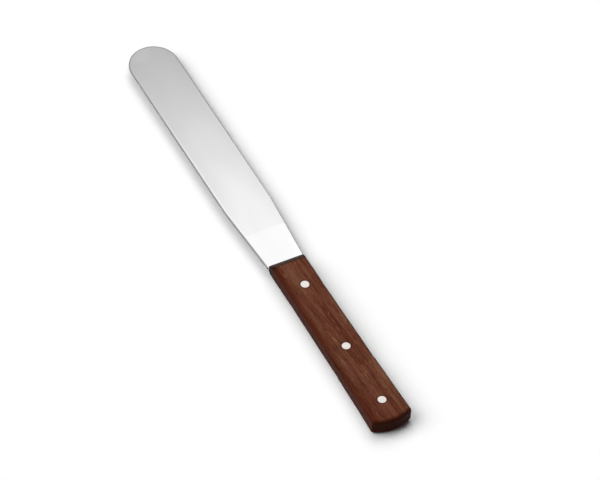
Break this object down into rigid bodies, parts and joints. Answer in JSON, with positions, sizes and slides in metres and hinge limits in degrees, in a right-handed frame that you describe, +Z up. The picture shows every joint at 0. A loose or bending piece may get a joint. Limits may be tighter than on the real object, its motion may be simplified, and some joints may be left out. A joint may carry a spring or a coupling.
{
  "type": "lab spatula",
  "caption": "Hand spatula with a flexible round-ended steel blade, ground thinner towards its tip, and a full tang pinned between wooden scales.",
  "frame": {"origin": "middle of the handle's length and width, on the flat lower face of the handle that the spatula rests on", "axes": "+X along the spatula from the tip of the blade towards the butt of the handle, +Z up through the handle's thickness, +Y across its width"},
  "size_m": [0.2662, 0.0254, 0.0094],
  "materials": {
    "steel": "satin stainless steel, finely ground along the blade",
    "wood": "dark reddish-brown close-grained hardwood, oiled, smooth",
    "pin_metal": "pale metal, ground flush with the wood"
  },
  "bodies": {
    "root": {"blade": "steel", "upper_scale": "wood", "lower_scale": "wood", "handle_pins": "pin_metal"}
  },
  "joints": []
}
